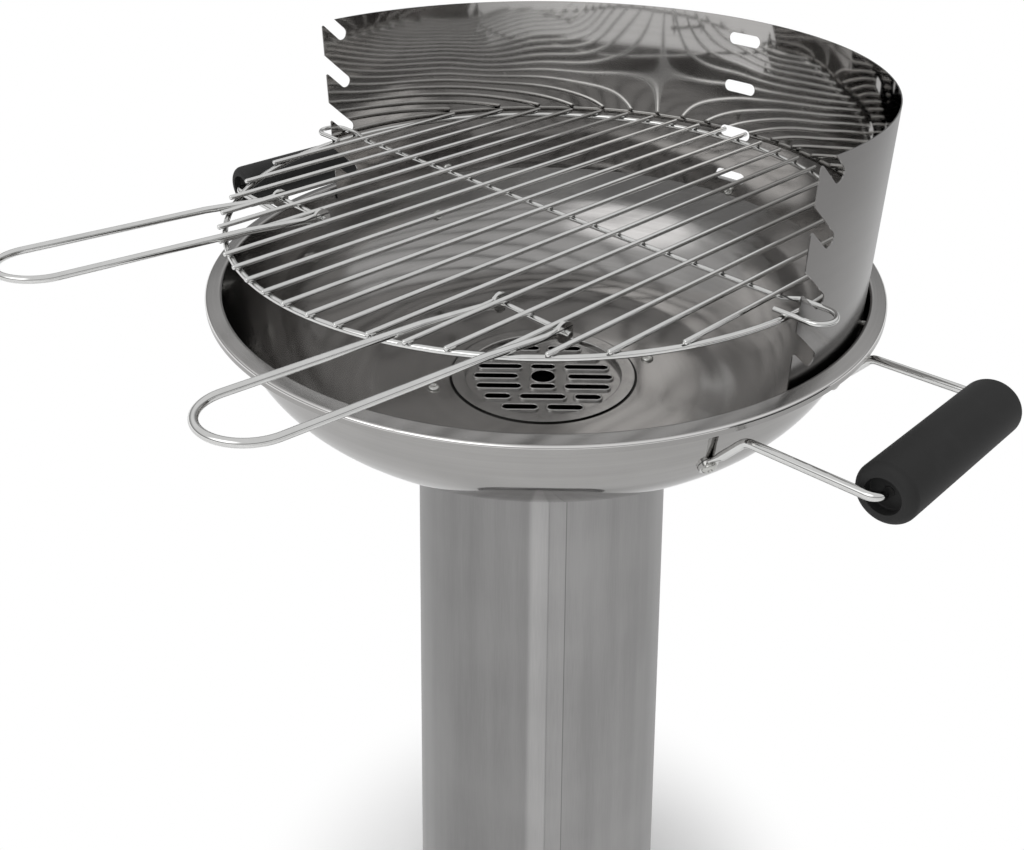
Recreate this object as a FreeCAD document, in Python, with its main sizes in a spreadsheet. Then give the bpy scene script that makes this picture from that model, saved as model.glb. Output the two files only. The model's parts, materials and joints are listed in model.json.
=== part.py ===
import FreeCAD, Part
import math
import os
import re
import Sketcher
from FreeCAD import Placement, Rotation, Vector

os.makedirs("parts", exist_ok=True)
doc = FreeCAD.newDocument("GrillPedestal")

# Driving sizes in millimetres and degrees. A level is a height above the ground, a rise is above the
# rim of the bowl and a drop is below it. Angles go round from +X, the right-hand side, towards the back.
sizes = {
    # Bowl: rim, leaning wall, rounded knee and flat floor with a hole over the column
    "rimLevel": 840,
    "rimRadius": 245,
    "rimFall": 2,
    "rimEdge": 5,
    "rimBend": 2.5,
    "rimWidth": 11.5,
    "bowlLean": 16,
    "bowlKnee": 95,
    "bowlDepth": 99,
    "bowlSheet": 1,
    # Base dish
    "baseLevel": 40,
    "baseLedge": 20,
    "baseFlare": 20,
    "baseShoulder": 15,
    "baseLip": 9,
    "baseLipBend": 3,
    "baseSheet": 1.2,
    # Column: rolled tube, a little wider at the foot, with a lap seam and air holes
    "columnTopRadius": 98,
    "columnFootRadius": 126.2,
    "columnSheet": 0.8,
    "seamAngle": -38.4,
    "seamWidth": 12,
    "airHoleRadius": 8,
    "airHoleRise": 62,
    # Angle brackets inside both ends of the column
    "bracketSheet": 2,
    "bracketLeg": 26,
    "bracketBend": 4,
    "bracketSpan": 13,
    "wallScrewSetback": 14,
    "levelScrewSetback": 9.5,
    "baseBracketAngle": 30,
    "topBracketAngle": 61,
    # Charcoal plate that covers the hole in the bowl's floor
    "plateClear": 10.7,
    "plateOverlap": 9,
    "plateSheet": 1,
    "plateStepBend": 1.3,
    "plateDish": 5,
    "plateGap": 0.6,
    "plateTurn": 44.3,
    "plateSlotWidth": 6.5,
    "plateLongSlot": 34.3,
    "plateShortSlot": 18.8,
    "plateEndMargin": 15.8,
    "plateEdge": 7,
    "plateLand": 8,
    "plateHoleLand": 11,
    "plateCentreHole": 9.2,
    "plateLip": 1.8,
    "plateLipRise": 1.2,
    # Windshield with notches in its front edges and slots in its back
    "shieldGap": 0.35,
    "shieldSheet": 0.8,
    "shieldDrop": 11,
    "shieldHalfAngle": 96,
    "shieldScrewAngle": 67.5,
    "shieldScrewDrop": 6.6,
    "notchPitch": 38.5,
    "notchWidth": 10,
    "notchSlope": 43,
    "notchDepth": 18.5,
    "notchFall": 9,
    "notchTipDrop": 3,
    "lowestTipRise": 19.5,
    "notchTipRound": 1.2,
    "slotLength": 30,
    "slotWidth": 9.5,
    "slotFall": 4.3,
    # Cooking grid
    "gridNotch": 3,
    "ringMargin": 8,
    "ringSetback": -3.5,
    "ringWire": 4,
    "barWire": 3.5,
    "rodWire": 3.5,
    "rodRound": 1.2,
    "rodMargin": 18.7,
    "rodOverhang": 5,
    "rodHook": 0.4,
    "hookOut": 17,
    "hookRadius": 11,
    "hookPast": 8,
    "stepInset": 4.5,
    "stepRun": 11,
    "stepBend": 8,
    # Fold-up handles of the cooking grid
    "crossWire": 4,
    "crossWirePast": 5.5,
    "hingeInset": 41.9,
    "liftGap": 0.6,
    "liftLength": 209,
    "liftSlope": 6.8,
    "liftKnee": 60,
    "liftKneeBend": 40,
    "liftEndSlope": 3.7,
    "liftWire": 4.8,
    "eyeRadius": 6.5,
    "eyeThickness": 2.4,
    "neckLength": 15,
    # Side handles: wire, flattened ends on the bowl and grips
    "sideWire": 6,
    "sideHalf": 70,
    "tabDrop": 46,
    "tabRadius": 6.5,
    "tabThickness": 2.4,
    "tabLift": 3,
    "tabLean": 14,
    "sideBendDrop": 18,
    "sideBend": 9,
    "gripOut": 72,
    "gripDrop": 14,
    "gripBend": 8,
    "gripRadius": 18.5,
    "gripEndGap": 1,
    "gripRound": 6,
    "gripRecess": 11,
    "gripRecessDepth": 7,
    "gripRecessRound": 1,
    # Screws and nuts
    "shankRadius": 2.5,
    "headRadius": 5,
    "headHeight": 2.8,
    "headRound": 1.6,
    "nutFlats": 8,
    "nutHeight": 4,
    "boreReach": 13,
    "boreTurn": 30,
    # Clearances
    "screwClearance": 0.25,
    "threadClearance": 0.05,
    "seatGap": 0.05,
    "curveGap": 0.2,
    "restGap": 0.15,
    "turnClearance": 0.1,
}
sheet = doc.addObject("Spreadsheet::Sheet", "Sizes")
for row, (alias, size) in enumerate(sizes.items(), 1):
    sheet.set(f"A{row}", alias)
    sheet.set(f"B{row}", str(size))
    sheet.setAlias(f"B{row}", alias)
doc.recompute()

# Counts of what repeats
airHoles = 12
notchCount = 4
rodCount = 20

# Sizes and places that several pieces share, worked out from the driving sizes
bowlMouth = "(rimRadius - rimWidth)"
bowlFloor = "(rimLevel - bowlDepth)"
columnTop = "(rimLevel - bowlDepth - bowlSheet)"
kneeReach = f"({bowlMouth} - (bowlDepth - bowlKnee) * tan(bowlLean) - bowlKnee / cos(bowlLean))"
columnLean = f"(atan((columnFootRadius - columnTopRadius) / ({columnTop} - baseLevel)) / 1 deg)"
baseTopRadius = "(columnFootRadius + baseLedge)"
baseRadius = f"({baseTopRadius} + baseFlare)"
bowlScrewReach = "(columnTopRadius - columnSheet - levelScrewSetback)"
plateRadius = f"({bowlScrewReach} - headRadius - plateClear)"
floorHole = f"({plateRadius} - plateOverlap)"
shieldRadius = f"({bowlMouth} - shieldDrop * tan(bowlLean) - shieldGap)"
shieldTop = f"(rimLevel + lowestTipRise + {notchCount - 1} * notchPitch + notchTipDrop)"
shieldFront = f"({shieldRadius} * cos(shieldHalfAngle))"
ringRadius = f"({shieldRadius} - ringMargin)"
rodPitch = f"(2 * ({ringRadius} - rodMargin) / {rodCount - 1})"
liftCentre = f"(5.5 * {rodPitch})"
liftHalf = f"({rodPitch} + rodWire / 2 + liftWire / 2 + liftGap)"
hingeSetback = f"(ringSetback - sqrt({ringRadius} ^ 2 - ({liftCentre} + {liftHalf}) ^ 2) + hingeInset)"
gripReach = "(rimRadius + gripOut)"
gripLength = "(2 * (sideHalf - gripEndGap) - sideWire)"
notchSetback = f"({shieldFront} + notchDepth)"
firstNotch = f"({shieldTop} - notchTipDrop - notchFall)"
hookLevel = f"({firstNotch} - (gridNotch - 1) * notchPitch - notchWidth / 2 + barWire / 2 + restGap)"
ringLevel = f"({hookLevel} - barWire / 2 - seatGap - ringWire / 2)"
rodLevel = f"({ringLevel} + ringWire / 2 + seatGap + rodWire / 2)"
barLevel = f"({rodLevel} - rodWire / 2 - seatGap - barWire / 2)"
hingeLevel = f"({rodLevel} - rodWire / 2 - seatGap - crossWire / 2)"
gripLevel = "(rimLevel - gripDrop)"
tabDip = "(asin((tabDrop - bowlDepth + bowlKnee) / (bowlKnee + bowlSheet)) / 1 deg)"
tabReach = f"({kneeReach} + (bowlKnee + bowlSheet) * cos({tabDip}))"
tabAngle = f"(asin(sideHalf / {tabReach}) / 1 deg)"


# The outer radius of the column at a level.
def columnRadius(level):
    share = f"({columnTop} - ({level})) / ({columnTop} - baseLevel)"
    return f"(columnTopRadius + (columnFootRadius - columnTopRadius) * {share})"


# Where the screws sit: first angle, turn to the next one, how many, distance from the axis, level,
# and the turn of the head's direction from straight up: -90 is outwards and 90 is inwards.
bowlFixing = ("topBracketAngle", 180, 2, bowlScrewReach, bowlFloor, 0)
topLevel = f"({columnTop} - wallScrewSetback)"
topFixing = ("topBracketAngle", 180, 2, columnRadius(topLevel), topLevel, f"({columnLean} - 90)")
footLevel = "(baseLevel + wallScrewSetback)"
footFixing = ("baseBracketAngle", 120, 3, columnRadius(footLevel), footLevel, f"({columnLean} - 90)")
baseReach = "(columnFootRadius - columnSheet - wallScrewSetback)"
baseFixing = ("baseBracketAngle", 120, 3, baseReach, "(baseLevel + bracketSheet + seatGap)", 0)
shieldReach = f"({shieldRadius} - shieldSheet - curveGap)"
shieldLevel = "(rimLevel - shieldScrewDrop)"
shieldFixing = ("(90 - shieldScrewAngle)", "shieldScrewAngle", 3, shieldReach, shieldLevel, 90)
tabLevel = "(rimLevel - tabDrop)"
tabFixing = (tabAngle, 0, 1, tabReach, tabLevel, f"(-90 - {tabDip})")


# A formula as the document stores it: the names of sizes get the name of their sheet in front.
def formula(text):
    return re.sub(r"[A-Za-z]+", lambda word: "Sizes." + word[0] if word[0] in sizes else word[0], str(text))


def value(text):
    return float(sheet.evalExpression(str(text)))


def newBody(name):
    body = doc.addObject("PartDesign::Body", name)
    body.Label = name
    return body


def originOf(body, role):
    return next(item for item in body.Origin.OriginFeatures if item.Role == role)


# A sketch on one of the body's own planes, moved and turned there by a placement written as a formula.
def newSketch(body, name, role, offset=None):
    sketch = body.newObject("Sketcher::SketchObject", name)
    sketch.AttachmentSupport = (originOf(body, role), [""])
    sketch.MapMode = "FlatFace"
    if offset:
        sketch.setExpression("AttachmentOffset", formula(offset))
    doc.recompute()
    return sketch


# The seat of a screw in the upright plane through the axis. Flat turns the sketch square to the screw.
def seatOffset(fixing, angle=0, flat=False, along=0):
    reach, level, turn = fixing[3:]
    turned = f"rotationz({turn})" + (" * rotationx(-90)" if flat else "")
    spot = f"{reach} - sin({turn}) * ({along}); {level} + cos({turn}) * ({along}); 0"
    return f"placement(vector(0; 0; 0); rotationy({angle})) * placement(vector({spot}); {turned})"


def bind(sketch, kind, *parts):
    *where, text = parts
    number = sketch.addConstraint(Sketcher.Constraint(kind, *where, value(text)))
    sketch.setExpression(f"Constraints[{number}]", formula(text))


def bindPoint(sketch, shape, end, x, y):
    bind(sketch, "DistanceX", -1, 1, shape, end, x)
    bind(sketch, "DistanceY", -1, 1, shape, end, y)


# The round of radius size in the corner at point, as its two ends and its middle.
def roundCorner(before, point, after, size):
    toBefore = (before - point).normalize()
    toAfter = (after - point).normalize()
    half = toBefore.getAngle(toAfter) / 2
    middle = (toBefore + toAfter).normalize()
    reach = size / math.tan(half)
    nearest = size / math.sin(half) - size
    return point + toBefore * reach, point + middle * nearest, point + toAfter * reach


# Lines from corner to corner with an arc in every corner that has a radius. Returns the lines.
def drawPath(sketch, points, radii, closed):
    count = len(points)
    starts = list(points)
    ends = list(points)
    middles = [None] * count
    for i, radius in enumerate(radii):
        if radius:
            before, after = points[i - 1], points[(i + 1) % count]
            ends[i], middles[i], starts[i] = roundCorner(before, points[i], after, radius)
    pairs = range(count) if closed else range(count - 1)
    lines = [sketch.addGeometry(Part.LineSegment(starts[i], ends[(i + 1) % count])) for i in pairs]
    arcs = {}
    for i in (range(count) if closed else range(1, count - 1)):
        first, second = lines[i - 1], lines[i]
        if middles[i] is None:
            sketch.addConstraint(Sketcher.Constraint("Coincident", first, 2, second, 1))
            continue
        arc = sketch.addGeometry(Part.Arc(ends[i], middles[i], starts[i]))
        near = 1 if sketch.getPoint(arc, 1).isEqual(ends[i], 1e-6) else 2
        sketch.addConstraint(Sketcher.Constraint("Tangent", first, 2, arc, near))
        sketch.addConstraint(Sketcher.Constraint("Tangent", arc, 3 - near, second, 1))
        arcs[i] = arc
    return lines, arcs


# Binds the corners of a path: a rounded corner is held by a point on both of its lines.
def bindPath(sketch, corners, points, lines, arcs, closed):
    last = len(corners) - 1
    for i, (x, y, *rounding) in enumerate(corners):
        if i in arcs:
            mark = sketch.addGeometry(Part.Point(points[i]), True)
            sketch.addConstraint(Sketcher.Constraint("PointOnObject", mark, 1, lines[i - 1]))
            sketch.addConstraint(Sketcher.Constraint("PointOnObject", mark, 1, lines[i]))
            bindPoint(sketch, mark, 1, x, y)
            bind(sketch, "Radius", arcs[i], rounding[0])
        elif i == last and not closed:
            bindPoint(sketch, lines[i - 1], 2, x, y)
        else:
            bindPoint(sketch, lines[i], 1, x, y)


def cornerPoints(corners):
    points = [Vector(value(corner[0]), value(corner[1]), 0) for corner in corners]
    radii = [value(corner[2]) if len(corner) > 2 else 0 for corner in corners]
    return points, radii


# A closed outline. A corner is its two coordinates and, where it is rounded, its radius.
def drawOutline(sketch, corners):
    points, radii = cornerPoints(corners)
    lines, arcs = drawPath(sketch, points, radii, True)
    bindPath(sketch, corners, points, lines, arcs, True)


# The section of a bent sheet: one face follows the corners and the sheet lies on the right of it.
def drawBentSheet(sketch, corners, thickness):
    points, radii = cornerPoints(corners)
    depth = value(thickness)
    steps = [(after - before).normalize() for before, after in zip(points, points[1:])]
    rights = [Vector(step.y, -step.x, 0) for step in steps]
    inner = [points[0] + rights[0] * depth]
    innerRadii = [0]
    innerTexts = [None]
    for i in range(1, len(points) - 1):
        right = (rights[i - 1] + rights[i]).normalize()
        inner.append(points[i] + right * (depth / right.dot(rights[i])))
        towards = steps[i].dot(rights[i - 1]) > 0
        innerRadii.append(radii[i] + (-depth if towards else depth) if radii[i] else 0)
        innerTexts.append(f"({corners[i][2]}) {'-' if towards else '+'} {thickness}" if radii[i] else None)
    inner.append(points[-1] + rights[-1] * depth)
    innerRadii.append(0)
    lines, arcs = drawPath(sketch, points, radii, False)
    bindPath(sketch, corners, points, lines, arcs, False)
    innerLines, innerArcs = drawPath(sketch, inner, innerRadii, False)
    for line, innerLine in zip(lines, innerLines):
        sketch.addConstraint(Sketcher.Constraint("Parallel", line, innerLine))
        bind(sketch, "Distance", innerLine, 1, line, thickness)
    for i, arc in innerArcs.items():
        bind(sketch, "Radius", arc, innerTexts[i])
    for line, innerLine, end, at in ((lines[0], innerLines[0], 1, 0), (lines[-1], innerLines[-1], 2, -1)):
        cap = sketch.addGeometry(Part.LineSegment(points[at], inner[at]))
        sketch.addConstraint(Sketcher.Constraint("Coincident", line, end, cap, 1))
        sketch.addConstraint(Sketcher.Constraint("Coincident", innerLine, end, cap, 2))
        sketch.addConstraint(Sketcher.Constraint("Perpendicular", cap, line))


def drawCircle(sketch, x, y, radius):
    middle = Vector(value(x), value(y), 0)
    circle = sketch.addGeometry(Part.Circle(middle, Vector(0, 0, 1), value(radius)))
    bindPoint(sketch, circle, 3, x, y)
    bind(sketch, "Radius", circle, radius)


# A slot with round ends along the sketch's own x, its middle at x and y.
def drawSlot(sketch, x, y, length, width):
    half = f"({length} - ({width})) / 2"
    left, right = value(f"{x} - {half}"), value(f"{x} + {half}")
    level, size = value(y), value(f"({width}) / 2")
    top = sketch.addGeometry(Part.LineSegment(Vector(left, level + size, 0), Vector(right, level + size, 0)))
    foot = sketch.addGeometry(Part.LineSegment(Vector(right, level - size, 0), Vector(left, level - size, 0)))
    up, down = Vector(0, size, 0), Vector(0, -size, 0)
    ends = []
    for middle, side in ((Vector(right, level, 0), size), (Vector(left, level, 0), -size)):
        arc = Part.Arc(middle + down, middle + Vector(side, 0, 0), middle + up)
        ends.append(sketch.addGeometry(arc))
    joins = ((top, 2, ends[0], True), (foot, 1, ends[0], False),
             (foot, 2, ends[1], False), (top, 1, ends[1], True))
    for line, end, arc, high in joins:
        target = level + size if high else level - size
        near = 1 if abs(sketch.getPoint(arc, 1).y - target) < 1e-6 else 2
        sketch.addConstraint(Sketcher.Constraint("Tangent", line, end, arc, near))
    bindPoint(sketch, ends[0], 3, f"{x} + {half}", y)
    bindPoint(sketch, ends[1], 3, f"{x} - {half}", y)
    bind(sketch, "Radius", ends[0], f"({width}) / 2")
    sketch.addConstraint(Sketcher.Constraint("Equal", ends[0], ends[1]))


def revolve(body, name, sketch, angle=360, axis="V_Axis"):
    feature = body.newObject("PartDesign::Revolution", name)
    feature.Profile = sketch
    feature.ReferenceAxis = (sketch, [axis])
    feature.setExpression("Angle", formula(angle))
    feature.Midplane = True
    doc.recompute()
    return feature


def extrude(body, name, kind, sketch, length, side="One side", backward=False):
    feature = body.newObject("PartDesign::" + kind, name)
    feature.Profile = sketch
    feature.SideType = side
    feature.Reversed = backward
    if length is None:
        feature.Type = "ThroughAll"
    else:
        feature.setExpression("Length", formula(length))
    doc.recompute()
    return feature


# Repeats one feature, or the whole body where none is given, in a row or a ring.
def repeat(body, name, kind, axis, occurrences, spacing, feature=None, backward=False):
    pattern = body.newObject("PartDesign::" + kind, name)
    if feature is None:
        pattern.TransformMode = "Whole shape"
    else:
        pattern.Originals = [feature]
    if kind == "LinearPattern":
        pattern.Direction = (originOf(body, axis), [""])
    else:
        pattern.Axis = (originOf(body, axis), [""])
    pattern.Mode = "Spacing"
    pattern.setExpression("Offset", formula(spacing))
    pattern.Occurrences = occurrences
    pattern.Reversed = backward
    body.Tip = pattern
    doc.recompute()
    return pattern


# The clearance hole of a screw through the sheets at its seat, at every place of the fixing. The circle is
# turned, so that its start lies off the upright plane where a round sheet may have its own seam.
def bore(body, name, fixing, radius="shankRadius + screwClearance", ringed=False):
    start, step, count = fixing[:3]
    for i in ([0] if ringed else range(count)):
        angle = 0 if ringed else f"({start} + {i} * {step})"
        place = seatOffset(fixing, angle, True) + " * rotationz(boreTurn)"
        sketch = newSketch(body, f"{name}Sketch{i}", "XZ_Plane", place)
        drawCircle(sketch, 0, 0, radius)
        extrude(body, f"{name}{i}", "Pocket", sketch, "boreReach", "Symmetric")


# Spreads a body drawn at angle 0 round the upright axis to the places of a fixing.
def spread(body, fixing):
    start, step, count = fixing[:3]
    if count > 1:
        repeat(body, body.Name + "Ring", "PolarPattern", "Z_Axis", count, step)
    body.setExpression("Placement", formula(f"placement(vector(0; 0; 0); rotationz({start}))"))
    doc.recompute()


# Round-headed screws whose heads sit on the seat and whose shanks have the given grip below them.
def screws(name, fixing, grip):
    body = newBody(name)
    sketch = newSketch(body, name + "Profile", "XZ_Plane", seatOffset(fixing))
    end = f"-({grip} + nutHeight + shankRadius)"
    drawOutline(sketch, [(0, end), ("shankRadius", end), ("shankRadius", 0), ("headRadius", 0),
                         ("headRadius", "headHeight", "headRound"), (0, "headHeight")])
    revolve(body, name + "Turned", sketch)
    spread(body, fixing)
    return body


# Six-sided nuts under the sheets, grip below the seat.
def nuts(name, fixing, grip):
    body = newBody(name)
    sketch = newSketch(body, name + "Outline", "XZ_Plane", seatOffset(fixing, 0, True, f"-({grip})"))
    size = "nutFlats / 2 / cos(30)"
    drawOutline(sketch, [(f"{size} * cos({60 * i})", f"{size} * sin({60 * i})") for i in range(6)])
    drawCircle(sketch, 0, 0, "shankRadius + threadClearance")
    extrude(body, name + "Pad", "Pad", sketch, "nutHeight", backward=True)
    spread(body, fixing)
    return body


def compound(name, pieces):
    group = doc.addObject("Part::Compound", name)
    group.Label = name
    group.Links = pieces
    doc.recompute()
    return group


def mirrored(name, source, normal):
    twin = doc.addObject("Part::Mirroring", name)
    twin.Label = name
    twin.Source = source
    twin.Normal = normal
    doc.recompute()
    return twin


def madeShape(name, shape):
    piece = doc.addObject("Part::Feature", name)
    piece.Label = name
    piece.Shape = shape
    return piece


# Round wire along a route of points, bent to a radius at each inner point.
def bentWire(points, radii, diameter):
    edges = []
    place = points[0]
    for i in range(1, len(points)):
        if i < len(points) - 1:
            start, middle, end = roundCorner(points[i - 1], points[i], points[i + 1], radii[i - 1])
        else:
            start = points[i]
        if (start - place).Length > 1e-4:
            edges.append(Part.LineSegment(place, start).toShape())
        if i < len(points) - 1:
            edges.append(Part.Arc(start, middle, end).toShape())
            place = end
    section = Part.Wire([Part.Circle(points[0], points[1] - points[0], diameter / 2).toShape()])
    return Part.Wire(edges).makePipeShell([section], True, False)


# Where the neck of a pressed end leaves the disc and half its width there, as shares of the disc's radius
neckBegin = 0.8
neckWidth = 0.6


# The end of a wire pressed flat: a disc with a hole and the neck that runs on into the round wire.
# The disc lies square to the pin direction; the wire begins at start and heads for target.
def pressedEnd(centre, pin, start, target, wire, radius, thickness, hole):
    along = (start - centre) - pin * (start - centre).dot(pin)
    frame = Placement(centre, Rotation(along, pin.cross(along), pin, "ZXY"))
    disc = Part.makeCylinder(radius, thickness, Vector(0, 0, -thickness / 2))
    flat = Part.Ellipse(Vector(0, 0, 0), radius * neckWidth, thickness * 0.49).toShape()
    upright = Rotation(Vector(0, 1, 0), Vector(0, 0, 1), Vector(1, 0, 0))
    flat.Placement = frame * Placement(Vector(radius * neckBegin, 0, 0), upright)
    circle = Part.Circle(start, target - start, wire / 2).toShape()
    neck = Part.makeLoft([Part.Wire([flat]), Part.Wire([circle])], True)
    disc.Placement = frame
    pinHole = Part.makeCylinder(hole, thickness * 4, Vector(0, 0, -thickness * 2))
    pinHole.Placement = frame
    return disc.fuse(neck).cut(pinHole)


# Base: a shallow spun dish, upside down, on a flat lip
baseDish = newBody("base_dish")
profile = newSketch(baseDish, "BaseProfile", "XZ_Plane")
drawBentSheet(profile, [(0, "baseLevel"), (baseTopRadius, "baseLevel", "baseShoulder"),
                        (f"{baseRadius} - baseLip", "baseSheet", "baseLipBend"), (baseRadius, "baseSheet")],
              "baseSheet")
revolve(baseDish, "BaseSpun", profile)
bore(baseDish, "BaseBore", baseFixing)

# Column: an open tube between the base and the bowl, with its lap seam and a ring of air holes
columnTube = newBody("column_tube")
profile = newSketch(columnTube, "ColumnProfile", "XZ_Plane")
columnWall = f"columnSheet / cos({columnLean})"
drawOutline(profile, [("columnTopRadius", columnTop), ("columnFootRadius", "baseLevel"),
                      (f"columnFootRadius - {columnWall}", "baseLevel"),
                      (f"columnTopRadius - {columnWall}", columnTop)])
revolve(columnTube, "ColumnRolled", profile)
lap = newSketch(columnTube, "LapProfile", "XZ_Plane", "placement(vector(0; 0; 0); rotationy(seamAngle))")
drawOutline(lap, [(f"columnTopRadius + {columnWall}", columnTop),
                  (f"columnFootRadius + {columnWall}", "baseLevel"),
                  (f"columnFootRadius - {columnWall} / 2", "baseLevel"),
                  (f"columnTopRadius - {columnWall} / 2", columnTop)])
revolve(columnTube, "LapSeam", lap, "2 * asin(seamWidth / 2 / columnTopRadius)")
airLevel = "(baseLevel + airHoleRise)"
hole = newSketch(columnTube, "AirHoleSketch", "YZ_Plane")
drawCircle(hole, 0, airLevel, "airHoleRadius")
airHole = extrude(columnTube, "AirHole", "Pocket", hole, "columnFootRadius * 2", backward=True)
repeat(columnTube, "AirHoles", "PolarPattern", "Z_Axis", airHoles, 360 / airHoles, airHole)
bore(columnTube, "TopBore", topFixing)
bore(columnTube, "FootBore", footFixing)


# Angle brackets that follow the round wall of the column, one leg on the wall and one level
def brackets(name, corners, thickness, levelFixing, wallFixing):
    body = newBody(name)
    section = newSketch(body, name + "Section", "XZ_Plane")
    drawBentSheet(section, corners, thickness)
    revolve(body, name + "Bent", section, "bracketSpan")
    bore(body, name + "LevelBore", levelFixing, ringed=True)
    bore(body, name + "WallBore", wallFixing, ringed=True)
    spread(body, levelFixing)


def insideColumn(level):
    return f"({columnRadius(level)} - {columnWall} - curveGap)"


legTop = "(baseLevel + bracketLeg)"
brackets("base_brackets", [(insideColumn(legTop), legTop),
                           (insideColumn("baseLevel"), "baseLevel + seatGap", "bracketBend"),
                           (f"{insideColumn('baseLevel')} - bracketLeg", "baseLevel + seatGap")],
         "bracketSheet", baseFixing, footFixing)
legFoot = f"({columnTop} - bracketLeg)"
brackets("column_brackets", [(f"{insideColumn(columnTop)} - bracketLeg", f"{columnTop} - seatGap"),
                             (insideColumn(columnTop), f"{columnTop} - seatGap", "bracketBend"),
                             (insideColumn(legFoot), legFoot)],
         "bracketSheet", bowlFixing, topFixing)

# Screws and nuts of the base and the column
screws("base_screws", baseFixing, "bracketSheet + baseSheet")
nuts("base_nuts", baseFixing, "bracketSheet + baseSheet + 2 * seatGap")
screws("column_foot_screws", footFixing, "columnSheet + bracketSheet")
nuts("column_foot_nuts", footFixing, "columnSheet + bracketSheet + 2 * curveGap")
screws("column_top_screws", topFixing, "columnSheet + bracketSheet")
nuts("column_top_nuts", topFixing, "columnSheet + bracketSheet + 2 * curveGap")

# Fire bowl: pressed sheet with a rolled-down rim, hole in the floor and bores for all that is screwed to it
fireBowl = newBody("fire_bowl")
profile = newSketch(fireBowl, "BowlProfile", "XZ_Plane")
drawBentSheet(profile, [(floorHole, bowlFloor),
                        (f"{bowlMouth} - bowlDepth * tan(bowlLean)", bowlFloor, "bowlKnee"),
                        (bowlMouth, "rimLevel", "rimBend"), ("rimRadius", "rimLevel - rimFall", "rimBend"),
                        ("rimRadius", "rimLevel - rimFall - rimEdge")], "bowlSheet")
revolve(fireBowl, "BowlPressed", profile)
bore(fireBowl, "FloorBore", bowlFixing)
bore(fireBowl, "ShieldBore", shieldFixing)
for side, angle in enumerate((tabAngle, f"(-{tabAngle})", f"(180 - {tabAngle})", f"(180 + {tabAngle})")):
    bore(fireBowl, f"TabBore{side}", (angle,) + tabFixing[1:])
screws("bowl_screws", bowlFixing, "bowlSheet + bracketSheet + seatGap")
nuts("bowl_nuts", bowlFixing, "bowlSheet + bracketSheet + 2 * seatGap")

# Charcoal plate: rests on the floor round the hole and dishes into it. Each row of slots runs from
# what is in its middle, a hole, a short slot, a long slot or nothing, to the edge of the dish.
charcoalPlate = newBody("charcoal_plate")
plateTop = f"({bowlFloor} + plateSheet + seatGap)"
dishRadius = f"({floorHole} - plateGap - plateSheet)"
profile = newSketch(charcoalPlate, "PlateProfile", "XZ_Plane")
drawBentSheet(profile, [(0, f"{plateTop} - plateDish"),
                        (dishRadius, f"{plateTop} - plateDish", "plateSheet / 2"),
                        (dishRadius, plateTop, "plateStepBend"), (plateRadius, plateTop)], "plateSheet")
revolve(charcoalPlate, "PlatePressed", profile)
rowPitch = f"(({dishRadius} - plateEndMargin) / 3)"
rowMiddles = ["plateCentreHole + plateHoleLand", "plateShortSlot / 2 + plateLand",
              "plateLongSlot / 2 + plateLand", "plateLand / 2"]
plateSlots = []
for row in range(-3, 4):
    level = f"({row} * {rowPitch})"
    begin = f"({rowMiddles[abs(row)]})"
    finish = f"(sqrt({dishRadius} ^ 2 - ({abs(row)} * {rowPitch} + plateSlotWidth / 2) ^ 2) - plateEdge)"
    middle = f"(({begin} + {finish}) / 2)"
    plateSlots += [(middle, level, f"({finish} - {begin})"), (f"(-{middle})", level, f"({finish} - {begin})")]
    if abs(row) in (1, 2):
        plateSlots.append((0, level, "plateShortSlot" if abs(row) == 1 else "plateLongSlot"))
lipOffset = f"placement(vector(0; 0; {plateTop} - plateDish - plateSheet / 2); rotationz(0))"
lips = newSketch(charcoalPlate, "LipSketch", "XY_Plane", lipOffset)
cuts = newSketch(charcoalPlate, "SlotSketch", "XY_Plane", lipOffset)
for x, level, length in plateSlots:
    drawSlot(lips, x, level, f"({length} + 2 * plateLip)", "plateSlotWidth + 2 * plateLip")
    drawSlot(cuts, x, level, length, "plateSlotWidth")
drawCircle(lips, 0, 0, "plateCentreHole + plateLip")
drawCircle(cuts, 0, 0, "plateCentreHole")
extrude(charcoalPlate, "Lips", "Pad", lips, "plateSheet / 2 + plateLipRise")
extrude(charcoalPlate, "Slots", "Pocket", cuts, "plateSheet * 4 + plateLipRise * 2", "Symmetric")
charcoalPlate.setExpression("Placement", formula("placement(vector(0; 0; 0); rotationz(plateTurn))"))

# Windshield: part of a cylinder standing in the bowl, with four notches in each front edge
# and four slots in the middle of its back, one below the other
windshield = newBody("windshield")
profile = newSketch(windshield, "ShieldProfile", "YZ_Plane")
drawOutline(profile, [(f"{shieldRadius} - shieldSheet", "rimLevel - shieldDrop"),
                      (shieldRadius, "rimLevel - shieldDrop"), (shieldRadius, shieldTop),
                      (f"{shieldRadius} - shieldSheet", shieldTop)])
revolve(windshield, "ShieldRolled", profile, "2 * shieldHalfAngle")
notchRun = "(2 * notchDepth / cos(notchSlope))"
notchOffset = f"placement(vector({notchSetback}; {firstNotch}; 0); rotationz(180 - notchSlope))"
notch = newSketch(windshield, "NotchSketch", "YZ_Plane", notchOffset)
drawSlot(notch, f"({notchRun} / 2)", 0, f"({notchRun} + notchWidth)", "notchWidth")
notchCut = extrude(windshield, "NotchCut", "Pocket", notch, "rimRadius * 3", "Symmetric")
repeat(windshield, "Notches", "LinearPattern", "Z_Axis", notchCount, "notchPitch", notchCut, True)
slot = newSketch(windshield, "BackSlotSketch", "XZ_Plane")
drawSlot(slot, 0, f"({firstNotch} - slotFall)", "slotLength", "slotWidth")
slotCut = extrude(windshield, "BackSlotCut", "Pocket", slot, "rimRadius * 2")
repeat(windshield, "BackSlots", "LinearPattern", "Z_Axis", notchCount, "notchPitch", slotCut, True)
bore(windshield, "ShieldBore", shieldFixing)
notched = windshield.Tip
tipEdges = []
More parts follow.
